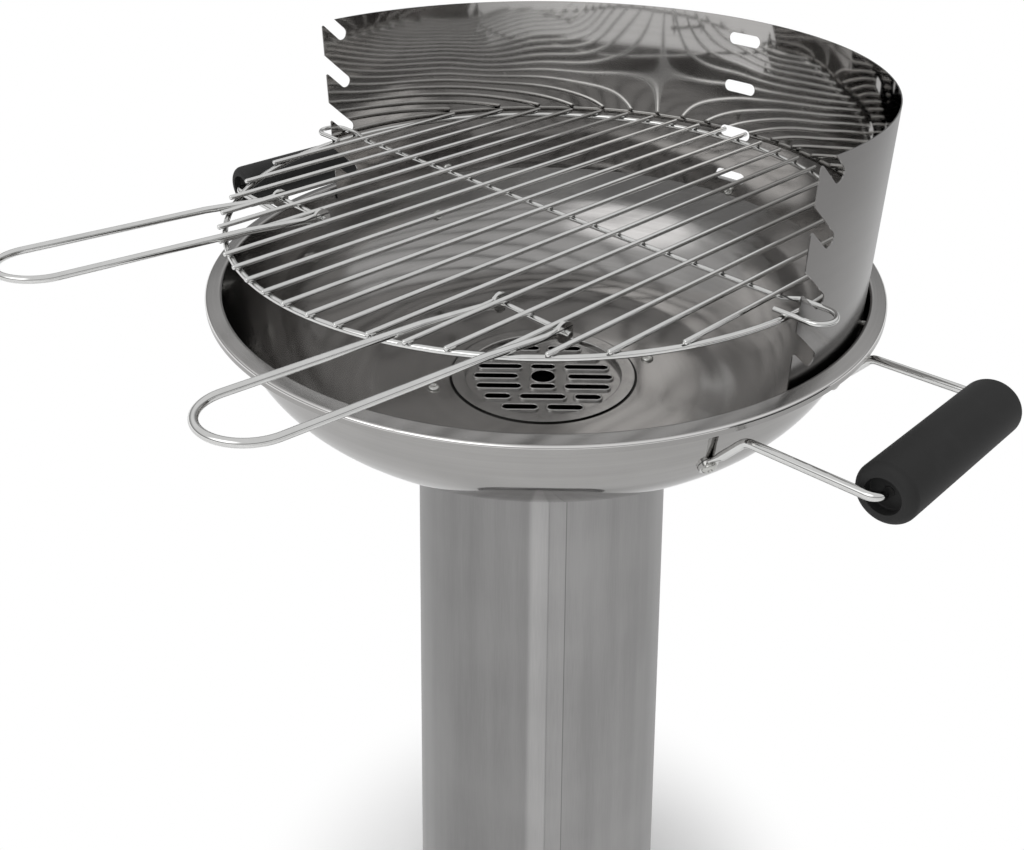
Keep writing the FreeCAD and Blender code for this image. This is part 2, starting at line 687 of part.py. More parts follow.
topTip = f"{firstNotch} + notchDepth * tan(notchSlope) - notchWidth / 2 / cos(notchSlope)"
tipLevels = [value(f"{topTip} - {i} * notchPitch") for i in range(notchCount)]
for number, edge in enumerate(notched.Shape.Edges, 1):
    middle = edge.CenterOfMass
    atFront = abs(middle.y - value(shieldFront)) < value("shieldSheet / 2")
    atTip = min(abs(middle.z - level) for level in tipLevels) < value("shieldSheet / 2")
    if atFront and atTip and edge.Length < value("shieldSheet * 2"):
        tipEdges.append(f"Edge{number}")
tips = windshield.newObject("PartDesign::Fillet", "TipRounds")
tips.Base = (notched, tipEdges)
tips.setExpression("Radius", formula("notchTipRound"))
windshield.Tip = tips
doc.recompute()
nutCorner = "nutFlats / 2 / cos(30)"
wallReach = f"({bowlMouth} + bowlSheet / cos(bowlLean) - (shieldScrewDrop - {nutCorner}) * tan(bowlLean))"
shieldGrip = f"({wallReach} - {shieldReach} + 2 * curveGap)"
screws("windshield_screws", shieldFixing, shieldGrip)
nuts("windshield_nuts", shieldFixing, shieldGrip)

# Cooking grid: a wire ring, rods across it and a bar whose hooked ends rest in a pair of notches
gridRing = doc.addObject("Part::Torus", "grid_ring")
gridRing.setExpression("Radius1", formula(ringRadius))
gridRing.setExpression("Radius2", formula("ringWire / 2"))
gridRing.setExpression("Placement", formula(f"placement(vector(0; ringSetback; {ringLevel}); rotationz(0))"))
rods = []
for i in range(rodCount):
    across = f"({i} - {(rodCount - 1) / 2}) * {rodPitch}"
    reach = f"(sqrt({ringRadius} ^ 2 - ({across}) ^ 2) + rodOverhang)"
    hooked = i in (rodCount // 2 - 1, rodCount // 2)
    backEnd = f"({shieldRadius} + rodHook)" if hooked else f"(ringSetback + {reach})"
    rod = doc.addObject("Part::Cylinder", f"Rod{i}")
    rod.setExpression("Radius", formula("rodWire / 2"))
    rod.setExpression("Height", formula(f"{backEnd} - ringSetback + {reach}"))
    backPoint = f"vector({across}; {backEnd}; {rodLevel})"
    rod.setExpression("Placement", formula(f"placement({backPoint}; rotationx(90))"))
    rounded = doc.addObject("Part::Fillet", f"RodRounded{i}")
    rounded.Base = rod
    doc.recompute()
    rounded.Edges = [(number, value("rodRound"), value("rodRound"))
                     for number, edge in enumerate(rod.Shape.Edges, 1)
                     if edge.Closed and edge.Curve.TypeId == "Part::GeomCircle"]
    rods.append(rounded)
compound("grid_rods", rods)

hook = value(hookLevel)
low = value(barLevel)
setback = value(notchSetback)
front = setback - 2 * value("hookRadius")
tip = value(f"{shieldRadius} + hookOut")
step = value(f"{ringRadius} - stepInset")
inside = step - value("stepRun")
rightHalf = [Vector(value(f"{ringRadius} - hookPast"), front, hook), Vector(tip, front, hook),
             Vector(tip, setback, hook), Vector(step, setback, hook), Vector(inside, setback, low)]
leftHalf = [Vector(-point.x, point.y, point.z) for point in reversed(rightHalf)]
hookBends = [value("hookRadius")] * 2 + [value("stepBend")] * 2
madeShape("grid_crossbar", bentWire(rightHalf + leftHalf, hookBends + hookBends[::-1], value("barWire")))

# Hinge wires under the rods, one for each fold-up handle
hingeWires = []
hingeHalf = f"({liftHalf} + crossWirePast)"
for name, middle in (("HingeWireRight", liftCentre), ("HingeWireLeft", f"-{liftCentre}")):
    wire = doc.addObject("Part::Cylinder", name)
    wire.setExpression("Radius", formula("crossWire / 2"))
    wire.setExpression("Height", formula(f"2 * {hingeHalf}"))
    start = f"vector({middle} - {hingeHalf}; {hingeSetback}; {hingeLevel})"
    wire.setExpression("Placement", formula(f"placement({start}; rotationy(90))"))
    hingeWires.append(wire)
compound("grid_hinge_wires", hingeWires)

# Fold-up handle: a hairpin of wire whose pressed ends turn on the hinge wire. Its legs rise over the ring
# and bend down a little beyond it.
hinge = Vector(0, value(hingeSetback), value(hingeLevel))
slope = math.radians(value("liftSlope"))
endSlope = math.radians(value("liftEndSlope"))
forward = Vector(0, -math.cos(slope), math.sin(slope))
legs = [hinge + Vector(value(f"{liftCentre} + {side} * {liftHalf}"), 0, 0) for side in (-1, 1)]
near = forward * value("neckLength")
knee = forward * value("liftKnee")
outward = Vector(0, -math.cos(endSlope), math.sin(endSlope))
far = knee + outward * value("liftLength - liftKnee + liftWire / 2")
route = [legs[0] + near, legs[0] + knee, legs[0] + far, legs[1] + far, legs[1] + knee, legs[1] + near]
bends = [value("liftKneeBend"), value(liftHalf), value(liftHalf), value("liftKneeBend")]
handle = bentWire(route, bends, value("liftWire"))
for leg in legs:
    eye = pressedEnd(leg, Vector(1, 0, 0), leg + near, leg + knee, value("liftWire"), value("eyeRadius"),
                     value("eyeThickness"), value("crossWire / 2 + turnClearance"))
    handle = handle.fuse(eye)
gridHandle = madeShape("grid_handle_right", handle.removeSplitter())
mirrored("grid_handle_left", gridHandle, Vector(1, 0, 0))

# Side handle: one wire from a pressed end on the bowl, round through the grip and back to the bowl
dip = math.radians(value(tabDip))
angle = math.radians(value(tabAngle))
outward = Vector(math.cos(angle) * math.cos(dip), math.sin(angle) * math.cos(dip), -math.sin(dip))
upward = Vector(-outward.z, 0, outward.x).normalize()
seat = Vector(value(tabReach) * math.cos(angle), value("sideHalf"), value(tabLevel))
tab = seat + outward * value("tabThickness / 2 + seatGap * 2")
wireStart = tab + upward * value("neckLength") + outward * value("tabLift")
lean = upward + outward * math.tan(math.radians(value("tabLean")))
bend = wireStart + lean * ((value("rimLevel - sideBendDrop") - wireStart.z) / lean.z)
bend.y = seat.y
elbow = Vector(value(gripReach), seat.y, value(gripLevel))
route = [wireStart, bend, elbow]
route += [Vector(point.x, -point.y, point.z) for point in reversed(route)]
bends = [value("sideBend"), value("gripBend")]
wire = bentWire(route, bends + bends[::-1], value("sideWire"))
tabEnd = pressedEnd(tab, outward, wireStart, bend, value("sideWire"), value("tabRadius"),
                    value("tabThickness"), value("shankRadius + screwClearance"))
wire = wire.fuse([tabEnd, tabEnd.mirror(Vector(0, 0, 0), Vector(0, 1, 0))]).removeSplitter()
rightWire = madeShape("side_wire_right", wire)
mirrored("side_wire_left", rightWire, Vector(1, 0, 0))


# One screw or nut at the front end of the right wire, and its twins at the other three ends
def fourfold(name, piece):
    pair = compound(name + "Pair", [piece, mirrored(name + "Twin", piece, Vector(0, 1, 0))])
    compound(name, [pair, mirrored(name + "Left", pair, Vector(1, 0, 0))])


tabStack = "(tabThickness + bowlSheet + 3 * seatGap + curveGap)"
tabSeat = tabFixing[:3] + (f"({tabReach} + (tabThickness + 3 * seatGap) * cos({tabDip}))",
                           f"({tabLevel} - (tabThickness + 3 * seatGap) * sin({tabDip}))", tabFixing[5])
fourfold("side_screws", screws("TabScrew", tabSeat, tabStack))
fourfold("side_nuts", nuts("TabNut", tabSeat, tabStack))

# Grips: moulded sleeves with rounded ends, recessed round the wire that they turn on
gripRight = newBody("side_grip_right")
profile = newSketch(gripRight, "GripProfile", "XY_Plane",
                    f"placement(vector({gripReach}; 0; {gripLevel}); rotationz(0))")
gripBore = "sideWire / 2 + turnClearance"
end = f"{gripLength} / 2"
drawOutline(profile, [(gripBore, f"-{end} + gripRecessDepth"),
                      ("gripRecess", f"-{end} + gripRecessDepth", "gripRecessRound"),
                      ("gripRecess", f"-{end}"), ("gripRadius", f"-{end}", "gripRound"),
                      ("gripRadius", end, "gripRound"), ("gripRecess", end),
                      ("gripRecess", f"{end} - gripRecessDepth", "gripRecessRound"),
                      (gripBore, f"{end} - gripRecessDepth")])
revolve(gripRight, "GripTurned", profile)
mirrored("side_grip_left", gripRight, Vector(1, 0, 0))

doc.recompute()
nodes = ["base_dish", "base_brackets", "base_screws", "base_nuts", "column_foot_screws",
         "column_foot_nuts", "column_tube", "column_brackets", "column_top_screws", "column_top_nuts",
         "fire_bowl", "bowl_screws", "bowl_nuts", "charcoal_plate", "windshield", "windshield_screws",
         "windshield_nuts", "side_wire_right", "side_wire_left", "side_grip_right", "side_grip_left",
         "side_screws", "side_nuts", "grid_ring", "grid_rods", "grid_crossbar", "grid_hinge_wires",
         "grid_handle_right", "grid_handle_left"]
for item in doc.Objects:
    if "Invalid" in item.State or "Error" in item.State:
        raise RuntimeError(f"{item.Label} could not be computed: {item.State}")
for name in nodes:
    shape = doc.getObject(name).Shape
    if shape.isNull() or not shape.isValid() or not shape.Solids:
        raise RuntimeError(f"{name} has no valid shape")
for name in nodes:
    shape = doc.getObject(name).Shape
    shape.exportStep(f"parts/{name}.step")
    print(name, len(shape.Solids), round(shape.Volume))
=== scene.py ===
import json
import math
import bmesh
import bpy
import numpy as np
from mathutils import Matrix, Vector


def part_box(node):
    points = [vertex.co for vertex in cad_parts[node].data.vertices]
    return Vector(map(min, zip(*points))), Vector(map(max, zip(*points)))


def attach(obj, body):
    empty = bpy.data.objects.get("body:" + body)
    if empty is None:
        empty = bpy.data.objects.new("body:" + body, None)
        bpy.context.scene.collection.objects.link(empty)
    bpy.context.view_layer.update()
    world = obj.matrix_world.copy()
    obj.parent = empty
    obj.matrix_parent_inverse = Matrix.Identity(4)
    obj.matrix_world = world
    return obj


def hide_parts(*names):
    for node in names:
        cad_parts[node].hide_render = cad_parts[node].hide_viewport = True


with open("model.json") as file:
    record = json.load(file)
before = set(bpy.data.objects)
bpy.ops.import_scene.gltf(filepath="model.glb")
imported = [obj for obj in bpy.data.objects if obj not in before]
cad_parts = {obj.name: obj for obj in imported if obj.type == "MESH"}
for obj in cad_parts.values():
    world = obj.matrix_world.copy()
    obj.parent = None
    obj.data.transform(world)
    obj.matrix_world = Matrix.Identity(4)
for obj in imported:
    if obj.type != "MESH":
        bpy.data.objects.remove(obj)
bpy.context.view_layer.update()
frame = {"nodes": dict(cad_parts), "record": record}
record = frame["record"]
bodyOf = {node: body for body, nodes in record["behaviour"]["bodies"].items() for node in nodes}
slotOf = {part["node"]: part["material_slot"] for part in record["subparts"]}
mm = 0.001
cadMerge = 0.002 * mm  # corners of a CAD mesh that are nearer than this are one corner
newMerge = 0.001 * mm  # the same for new pieces
samePoint = 0.000001  # points of a section, in mm, that are nearer than this are one point
upright = 0.9  # an axis counts as upright where its z is more than this


# Shader maths: a socket that takes part in Python expressions
class Field:
    def __init__(self, paint, socket):
        self.paint = paint
        self.socket = socket

    def math(self, operation, *others):
        return self.paint.node("ShaderNodeMath", {"operation": operation}, dict(enumerate((self,) + others)))

    def reflected(self, operation, other):
        return self.paint.node("ShaderNodeMath", {"operation": operation}, {0: other, 1: self})

    def __add__(self, other):
        return self.math("ADD", other)

    def __sub__(self, other):
        return self.math("SUBTRACT", other)

    def __mul__(self, other):
        return self.math("MULTIPLY", other)

    def __truediv__(self, other):
        return self.math("DIVIDE", other)

    def __pow__(self, other):
        return self.math("POWER", other)

    def __radd__(self, other):
        return self.reflected("ADD", other)

    def __rsub__(self, other):
        return self.reflected("SUBTRACT", other)

    def __rmul__(self, other):
        return self.reflected("MULTIPLY", other)

    # 0 below low, 1 above high and a smooth step between them
    def step(self, low, high):
        sockets = {"Value": self, "From Min": low, "From Max": high}
        return self.paint.node("ShaderNodeMapRange", {"interpolation_type": "SMOOTHSTEP"}, sockets)


# One material or world as a graph of nodes
class Paint:
    def __init__(self, tree):
        tree.nodes.clear()
        self.tree = tree

    def node(self, kind, settings=None, sockets=None, output=0):
        made = self.tree.nodes.new(kind)
        for key, setting in (settings or {}).items():
            setattr(made, key, setting)
        for key, entry in (sockets or {}).items():
            if isinstance(entry, Field):
                self.tree.links.new(entry.socket, made.inputs[key])
            else:
                made.inputs[key].default_value = entry
        return Field(self, made.outputs[output]) if made.outputs else made

    # Object coordinates as a vector and as x, y and z
    def place(self):
        at = self.node("ShaderNodeTexCoord", output="Object")
        split = self.node("ShaderNodeSeparateXYZ", sockets={0: at})
        parts = split.socket.node.outputs
        return at, [Field(self, parts[i]) for i in range(3)]

    def vector(self, x, y, z):
        return self.node("ShaderNodeCombineXYZ", sockets={0: x, 1: y, 2: z})

    def noise(self, vector, scale, detail=3.0, roughness=0.55):
        sockets = {"Vector": vector, "Scale": scale, "Detail": detail, "Roughness": roughness}
        return self.node("ShaderNodeTexNoise", sockets=sockets)

    def mix(self, factor, first, second, blend="MIX"):
        ends = [entry if isinstance(entry, Field) else (*entry, 1) for entry in (first, second)]
        settings = {"data_type": "RGBA", "blend_type": blend}
        return self.node("ShaderNodeMix", settings, {0: factor, 6: ends[0], 7: ends[1]}, 2)

    # How far a vector points along a direction
    def along(self, vector, direction):
        sockets = {0: vector, 1: direction}
        return self.node("ShaderNodeVectorMath", {"operation": "DOT_PRODUCT"}, sockets, "Value")

    # 1 for what the camera sees straight, and 1 for what shiny surfaces mirror
    def rays(self):
        return [self.node("ShaderNodeLightPath", output=kind) for kind in ("Is Camera Ray", "Is Glossy Ray")]

    def bump(self, height, distance, under=None):
        sockets = {"Height": height, "Distance": distance}
        if under:
            sockets["Normal"] = under
        return self.node("ShaderNodeBump", sockets=sockets)


def newMaterial(name):
    material = bpy.data.materials.new(name)
    material.use_nodes = True
    return material, Paint(material.node_tree)


def shade(paint, sockets):
    surface = paint.node("ShaderNodeBsdfPrincipled", sockets=sockets)
    paint.node("ShaderNodeOutputMaterial", sockets={"Surface": surface})


# Bare metal: fine polishing lines along one direction, cloudy patches, faint scratches and a slow unevenness
# of the sheet that bends what it mirrors. Lines is a function from x, y, z to the coordinates of the lines;
# extra may change the colour and the roughness afterwards.
def metal(name, values, lines, extra=None):
    material, paint = newMaterial(name)
    at, (x, y, z) = paint.place()
    fine = paint.noise(lines(paint, x, y, z, values["lineScale"]), 1.0, detail=2.0)
    broad = paint.noise(lines(paint, x, y, z, values["bandScale"]), 1.0, detail=2.0)
    cloud = paint.noise(at, values["cloudScale"])
    marks = paint.noise(at, values["markScale"], detail=6.0, roughness=0.7)
    marks = marks.step(values["markFrom"], values["markTo"])
    tone = fine * values["lineShare"] + broad * values["bandShare"] + cloud * values["cloudShare"]
    tone = tone.step(values["toneFrom"], values["toneTo"])
    colour = paint.mix(tone, values["dark"], values["light"])
    rough = values["roughness"] + (fine - 0.5) * values["lineRoughness"]
    rough = rough + (cloud - 0.5) * values["cloudRoughness"] + marks * values["markRoughness"]
    if extra:
        colour, rough = extra(paint, x, y, z, colour, rough)
    sag = paint.bump(paint.noise(at, values["sagScale"], detail=1.0), values["sag"])
    scored = paint.bump(fine + marks * values["markDepth"], values["lineDepth"], under=sag)
    shade(paint, {"Base Color": colour, "Metallic": 1.0, "Roughness": rough, "Normal": scored,
                  "Anisotropic": values["anisotropic"]})
    return material


# The scale along the lines as a share of the scale across them
lineStretch = {"upright": 0.006, "round": 0.01}


def linesUpright(paint, x, y, z, scale):
    return paint.vector(x * scale, y * scale, z * (scale * lineStretch["upright"]))


def linesAround(paint, x, y, z, scale):
    slow = scale * lineStretch["round"]
    return paint.vector(x * slow, y * slow, z * scale)


# Rings about the upright axis: the radius and the level go on growing from the middle of a bowl to its rim
def linesSpun(paint, x, y, z, scale):
    slow = scale * lineStretch["round"]
    radius = (x * x + y * y) ** 0.5
    return paint.vector(x * slow, y * slow, (radius + z) * scale)


def linesNone(paint, x, y, z, scale):
    return paint.vector(x * scale, y * scale, z * scale)


# The column's seam, with painted light: the strip of sheet left of the lap has a painted highlight, the lap
# and the sheet right of it are painted a little brighter, and the edge of the lap is a painted dark line of
# shade. Angles in degrees round from +X.
seamLook = {"highlightFrom": -51.5, "highlightTo": -42.2, "highlight": 0.5, "blur": 3, "crisp": 0.5, "lap": 0.25,
            "right": 0.165, "edge": -34.7, "edgeWidth": 0.35, "edgeShade": 0.6}


def seamPaintedLight(paint, x, y, z, colour, rough):
    # Painted highlight left of the lap, the lap and the sheet right of it painted brighter, painted shade
    # line at the lap's edge
    angle = y.math("ARCTAN2", x) * (180 / math.pi)
    lap = angle.step(seamLook["highlightTo"] - seamLook["crisp"], seamLook["highlightTo"])
    highlight = angle.step(seamLook["highlightFrom"], seamLook["highlightFrom"] + seamLook["blur"]) * (1 - lap)
    edge = 1 - (angle - seamLook["edge"]).math("ABSOLUTE").step(0, seamLook["edgeWidth"])
    past = angle.step(seamLook["edge"] - seamLook["crisp"], seamLook["edge"])
    bright = 1 + highlight * seamLook["highlight"] + lap * seamLook["lap"]
    bright = bright - past * (seamLook["lap"] - seamLook["right"])
    bright = paint.mix(edge, paint.vector(bright, bright, bright), (seamLook["edgeShade"],) * 3)
    return paint.mix(1.0, colour, bright, "MULTIPLY"), rough


# Painted shade: the undersides of the grid's level rods and ring are painted dark. Levels and distances in
# mm.
undersideShade = {"rodFrom": 884.08, "rodTo": 885.1, "ringTo": 881.2, "inner": 219, "setback": 3.5, "start": 0.05,
         "fade": 0.3, "border": 0.5, "colour": (0.03, 0.029, 0.027), "amount": 0.9, "rougher": 0.25}


def shadeUndersides(paint, x, y, z, colour, rough):
    level = z / mm
    shift = y + undersideShade["setback"] * mm
    radius = (x * x + shift * shift) ** 0.5 / mm
    above = level.step(undersideShade["rodFrom"], undersideShade["rodFrom"] + undersideShade["start"])
    rods = above * (1 - level.step(undersideShade["rodTo"] - undersideShade["fade"], undersideShade["rodTo"]))
    outside = radius.step(undersideShade["inner"], undersideShade["inner"] + undersideShade["border"])
    ring = (1 - level.step(undersideShade["ringTo"] - undersideShade["fade"], undersideShade["ringTo"])) * outside
    # Painted shade under the level rods and the ring
    dark = rods.math("MAXIMUM", ring) * undersideShade["amount"]
    return paint.mix(dark, colour, undersideShade["colour"]), rough + dark * undersideShade["rougher"]


# The bowl's sizes in mm
bowl = {"hole": 63, "floor": 741, "mouth": 233.5, "lean": 16, "knee": 95, "rim": 840, "rimRadius": 245,
        "rimFall": 2, "rimEdge": 5, "rimBend": 2.5, "sheet": 1, "sides": 288, "perArc": 24, "seenFrom": 50}

# How much duller its rim is, how bright the highlight painted along its edge and how dark the shadow painted
# round the charcoal plate's edge. Widths and radii in mm.
bowlLook = {"dulled": 0.12, "dulledWithin": 3, "rimHighlight": (0.8, 0.79, 0.78), "rimHighlightWidth": 1.6, "rimHighlightFrom": 2,
            "rimHighlightTo": 1.2, "plateShadow": (0.012, 0.012, 0.011), "plateShadowFrom": 71.2, "plateShadowTo": 74.6, "plateShadowStart": 0.5,
            "plateShadowFade": 1}


# The flat rim is brushed duller than the bowl, a highlight is painted along its edge and a shadow round the
# plate
def bowlDullRimAndPaintedLight(paint, x, y, z, colour, rough):
    radius = (x * x + y * y) ** 0.5 / mm
    rim = radius.step(bowl["mouth"], bowl["mouth"] + bowlLook["dulledWithin"])
    width = bowlLook["rimHighlightWidth"]
    fall = bowl["rim"] - bowl["rimFall"]
    # Painted highlight along the rim's outer bend
    rimHighlight = radius.step(bowl["rimRadius"] - width, bowl["rimRadius"] - width / 2)
    rimHighlight = rimHighlight * (z / mm).step(fall - bowlLook["rimHighlightFrom"], fall - bowlLook["rimHighlightTo"])
    # Painted shadow of the charcoal plate's raised edge on the bowl's floor
    plateShadow = radius.step(bowlLook["plateShadowFrom"], bowlLook["plateShadowFrom"] + bowlLook["plateShadowStart"])
    plateShadow = plateShadow * (1 - radius.step(bowlLook["plateShadowTo"] - bowlLook["plateShadowFade"], bowlLook["plateShadowTo"]))
    colour = paint.mix(rimHighlight, paint.mix(plateShadow, colour, bowlLook["plateShadow"]), bowlLook["rimHighlight"])
    return colour, rough + rim * (1 - rimHighlight) * bowlLook["dulled"]


# Two tones and how lines, bands and clouds share in mixing them; what each adds to the roughness; the scales
# of the patterns per metre; their depths in metres
sheetLook = {"dark": (0.40, 0.39, 0.38), "light": (0.52, 0.51, 0.50), "toneFrom": 0.3, "toneTo": 0.7,
             "lineShare": 0.2, "bandShare": 0.4, "cloudShare": 0.4, "roughness": 0.12, "lineRoughness": 0.04,
             "cloudRoughness": 0.05, "markRoughness": 0.04, "markFrom": 0.62, "markTo": 0.72,
             "lineScale": 900, "bandScale": 120, "cloudScale": 14, "markScale": 260, "lineDepth": 0.000001,
             "markDepth": 0.5, "sagScale": 9, "sag": 0.0012, "anisotropic": 0.3}
shieldLook = dict(sheetLook, dark=(0.43, 0.42, 0.41), light=(0.50, 0.49, 0.48), roughness=0.055,
                  lineRoughness=0.02, cloudRoughness=0.03, sagScale=7, sag=0.003, anisotropic=0.0)
# The shield's outside: a rougher, darker copy of its steel; the darker colour is painted shade
shieldShadedLook = dict(sheetLook, dark=(0.275, 0.269, 0.264), light=(0.305, 0.298, 0.293), roughness=0.2,
                      sag=0.0005)
bowlInsideLook = dict(sheetLook, dark=(0.335, 0.328, 0.321), light=(0.415, 0.407, 0.4), sag=0.0015)
bowlOutsideLook = dict(sheetLook, dark=(0.36, 0.353, 0.346), light=(0.44, 0.432, 0.424), roughness=0.06,
                       sag=0.003, sagScale=7)
columnLook = dict(sheetLook, dark=(0.248, 0.245, 0.244), light=(0.318, 0.314, 0.312), roughness=0.34,
                  lineRoughness=0.1, bandScale=60, cloudScale=9, anisotropic=0.5)
baseLook = dict(sheetLook, dark=(0.28, 0.28, 0.28), light=(0.36, 0.36, 0.36), roughness=0.3)
plateLook = dict(sheetLook, dark=(0.38, 0.374, 0.367), light=(0.47, 0.463, 0.456), roughness=0.2,
                 anisotropic=0.0)
wireLook = dict(sheetLook, dark=(0.70, 0.70, 0.69), light=(0.80, 0.80, 0.79), roughness=0.07, lineScale=300,
                bandScale=40, sagScale=60, sag=0.00004, anisotropic=0.0)
zincLook = dict(sheetLook, dark=(0.50, 0.50, 0.48), light=(0.66, 0.66, 0.64), roughness=0.22, lineScale=500,
                bandScale=200, sagScale=200, sag=0.00003, anisotropic=0.0)
gripLook = {"dark": (0.016, 0.016, 0.016), "light": (0.026, 0.026, 0.026), "roughness": 0.62,
            "grainScale": 1400, "grainDepth": 0.00004, "fineShare": 0.3, "fineRoughness": 0.1,
            "scuffScale": 30, "scuffFrom": 0.5, "scuffTo": 0.75, "scuffRoughness": 0.08, "shine": 0.3}


# Moulded plastic: a pitted grain and paler scuffs
def plastic(name, values):
    material, paint = newMaterial(name)
    at = paint.place()[0]
    cells = {"Vector": at, "Scale": values["grainScale"]}
    grain = paint.node("ShaderNodeTexVoronoi", {"feature": "SMOOTH_F1"}, cells)
    fine = paint.noise(at, values["grainScale"] * 2, detail=2.0)
    scuff = paint.noise(at, values["scuffScale"], detail=5.0, roughness=0.65)
    scuff = scuff.step(values["scuffFrom"], values["scuffTo"])
    rough = values["roughness"] + (fine - 0.5) * values["fineRoughness"] + scuff * values["scuffRoughness"]
    shade(paint, {"Base Color": paint.mix(scuff, values["dark"], values["light"]), "Roughness": rough,
                  "Normal": paint.bump(grain + fine * values["fineShare"], values["grainDepth"]),
                  "Specular IOR Level": values["shine"]})
    return material


finishes = {"base_steel": metal("baseSteel", baseLook, linesSpun),
            "column_steel": metal("columnSteel", columnLook, linesUpright, seamPaintedLight),
            "bowl_steel": metal("bowlSteel", bowlInsideLook, linesSpun, bowlDullRimAndPaintedLight),
            "bowl_back": metal("bowlSteelOutside", bowlOutsideLook, linesSpun, bowlDullRimAndPaintedLight),
            "plate_steel": metal("plateSteel", plateLook, linesNone),
            "shield_steel": metal("shieldSteel", shieldLook, linesAround),
            "shield_back": metal("shieldSteelOutsideShaded", shieldShadedLook, linesAround),
            "grid_wire": metal("gridChrome", wireLook, linesNone, shadeUndersides),
            "handle_wire": metal("handleChrome", wireLook, linesNone),
            "grip_plastic": plastic("gripPlastic", gripLook),
            "fastener_steel": metal("fastenerZinc", zincLook, linesNone)}
print("materials:", len(finishes))


# Gives a new piece the finish of a node's slot and the node's body, and hides the node where the piece
# stands for it
def settle(piece, node, stands=True):
    piece.data.materials.clear()
    piece.data.materials.append(finishes[slotOf[node]])
    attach(piece, bodyOf[node])
    if stands:
        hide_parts(node)
    return piece


def addPiece(name, mesh, smoothAngle=35):
    mesh.polygons.foreach_set("use_smooth", np.ones(len(mesh.polygons), bool))
    mesh.set_sharp_from_angle(angle=math.radians(smoothAngle))
    mesh.update()
    piece = bpy.data.objects.new(name, mesh)
    bpy.context.scene.collection.objects.link(piece)
    return piece


# A copy of a node with its corners merged, so that its round faces are shaded smooth
def smoothCopy(node):
    mesh = frame["nodes"][node].data.copy()
    work = bmesh.new()
    work.from_mesh(mesh)
    bmesh.ops.remove_doubles(work, verts=work.verts, dist=cadMerge)
    work.to_mesh(mesh)
    work.free()
    if mesh.has_custom_normals:
        mesh.attributes.remove(mesh.attributes["custom_normal"])
    return settle(addPiece(node + "_smooth", mesh), node)


# One property of all the corners, edges or faces of a mesh, as an array with a row for each
def listed(items, name, width=3, kind=float):
    numbers = np.empty(len(items) * width, kind)
    items.foreach_get(name, numbers)
    return numbers.reshape(-1, width)


# A second finish on the faces of a round piece that look away from a point on its axis
def finishOutside(piece, finish, level):
    mesh = piece.data
    mesh.materials.append(finish)
    inward = np.array((0, 0, level)) - listed(mesh.polygons, "center")
    away = np.sum(inward * listed(mesh.polygons, "normal"), axis=1) < 0
    mesh.polygons.foreach_set("material_index", away.astype(np.int32))


onRound = 0.97  # how well a face's own normal and the round one agree where the face is part of the round


# Sets the exact normals of a cylinder or cone about the upright axis on the faces that lie on it
def roundNormals(piece, lean):
    mesh = piece.data
    centres, flats = listed(mesh.polygons, "center"), listed(mesh.polygons, "normal")
    spots = listed(mesh.vertices, "co")
    counts = listed(mesh.polygons, "loop_total", 1, int)[:, 0]
    owners = listed(mesh.loops, "vertex_index", 1, int)[:, 0]

    def radial(points):
        flat = points * (1, 1, 0)
        flat /= np.linalg.norm(flat, axis=1)[:, None]
        return flat * math.cos(lean) + np.array((0, 0, math.sin(lean)))

    agree = np.sum(radial(centres) * flats, axis=1)
    faces = np.repeat(np.arange(len(counts)), counts)
    side = np.where(np.abs(agree) > onRound, np.sign(agree), 0)[faces][:, None]
    normals = np.where(side != 0, radial(spots[owners]) * side, flats[faces])
    mesh.normals_split_custom_set(normals.tolist())


# Points in rows and columns as a closed or open surface; a pole is a row that shrinks to one point
def surface(name, grid, closedRows=False, closedColumns=False):
    rows, columns = grid.shape[:2]
    index = np.arange(rows * columns).reshape(rows, columns)
    across = np.concatenate([index, index[:, :1]], 1) if closedColumns else index
    down = np.concatenate([across, across[:1]], 0) if closedRows else across
    faces = np.stack([down[:-1, :-1], down[:-1, 1:], down[1:, 1:], down[1:, :-1]], -1).reshape(-1, 4)
    mesh = bpy.data.meshes.new(name)
    mesh.from_pydata(grid.reshape(-1, 3).tolist(), [], faces.tolist())
    work = bmesh.new()
    work.from_mesh(mesh)
    bmesh.ops.remove_doubles(work, verts=work.verts, dist=newMerge)
    bmesh.ops.recalc_face_normals(work, faces=work.faces)
    work.to_mesh(mesh)
    work.free()
    return addPiece(name, mesh)


# Points along straight runs joined by arcs of the given radii. Each corner's arc starts and ends where the
# runs touch it: corner + run direction * radius / tan(half the angle between the runs).
def roundedPath(corners, radii, perArc):
    corners = np.array(corners, float)
    points = [corners[:1]]
    for i, radius in enumerate(radii, 1):
        back = corners[i - 1] - corners[i]
        on = corners[i + 1] - corners[i]
        back /= np.linalg.norm(back)
        on /= np.linalg.norm(on)
        half = math.acos(np.clip(back @ on, -1, 1)) / 2
        middle = (back + on) / np.linalg.norm(back + on)
        centre = corners[i] + middle * (radius / math.sin(half))
        start = corners[i] + back * (radius / math.tan(half)) - centre
        end = corners[i] + on * (radius / math.tan(half)) - centre
        sweep = math.pi - 2 * half
        share = np.linspace(0, 1, perArc)[:, None]
        swung = np.sin((1 - share) * sweep) * start + np.sin(share * sweep) * end
        points.append(centre + swung / math.sin(sweep))
    points.append(corners[-1:])
    return np.concatenate(points)


# Turns a closed section of radius and level about the upright axis
def revolved(name, section, sides):
    angle = np.linspace(0, 2 * math.pi, sides, endpoint=False)
    around = np.stack([np.cos(angle), np.sin(angle)], -1)
    flat = section[:, None, :1] * around[None]
    level = np.broadcast_to(section[:, None, 1:], (len(section), sides, 1))
    return surface(name, np.concatenate([flat, level], -1), closedRows=True, closedColumns=True)


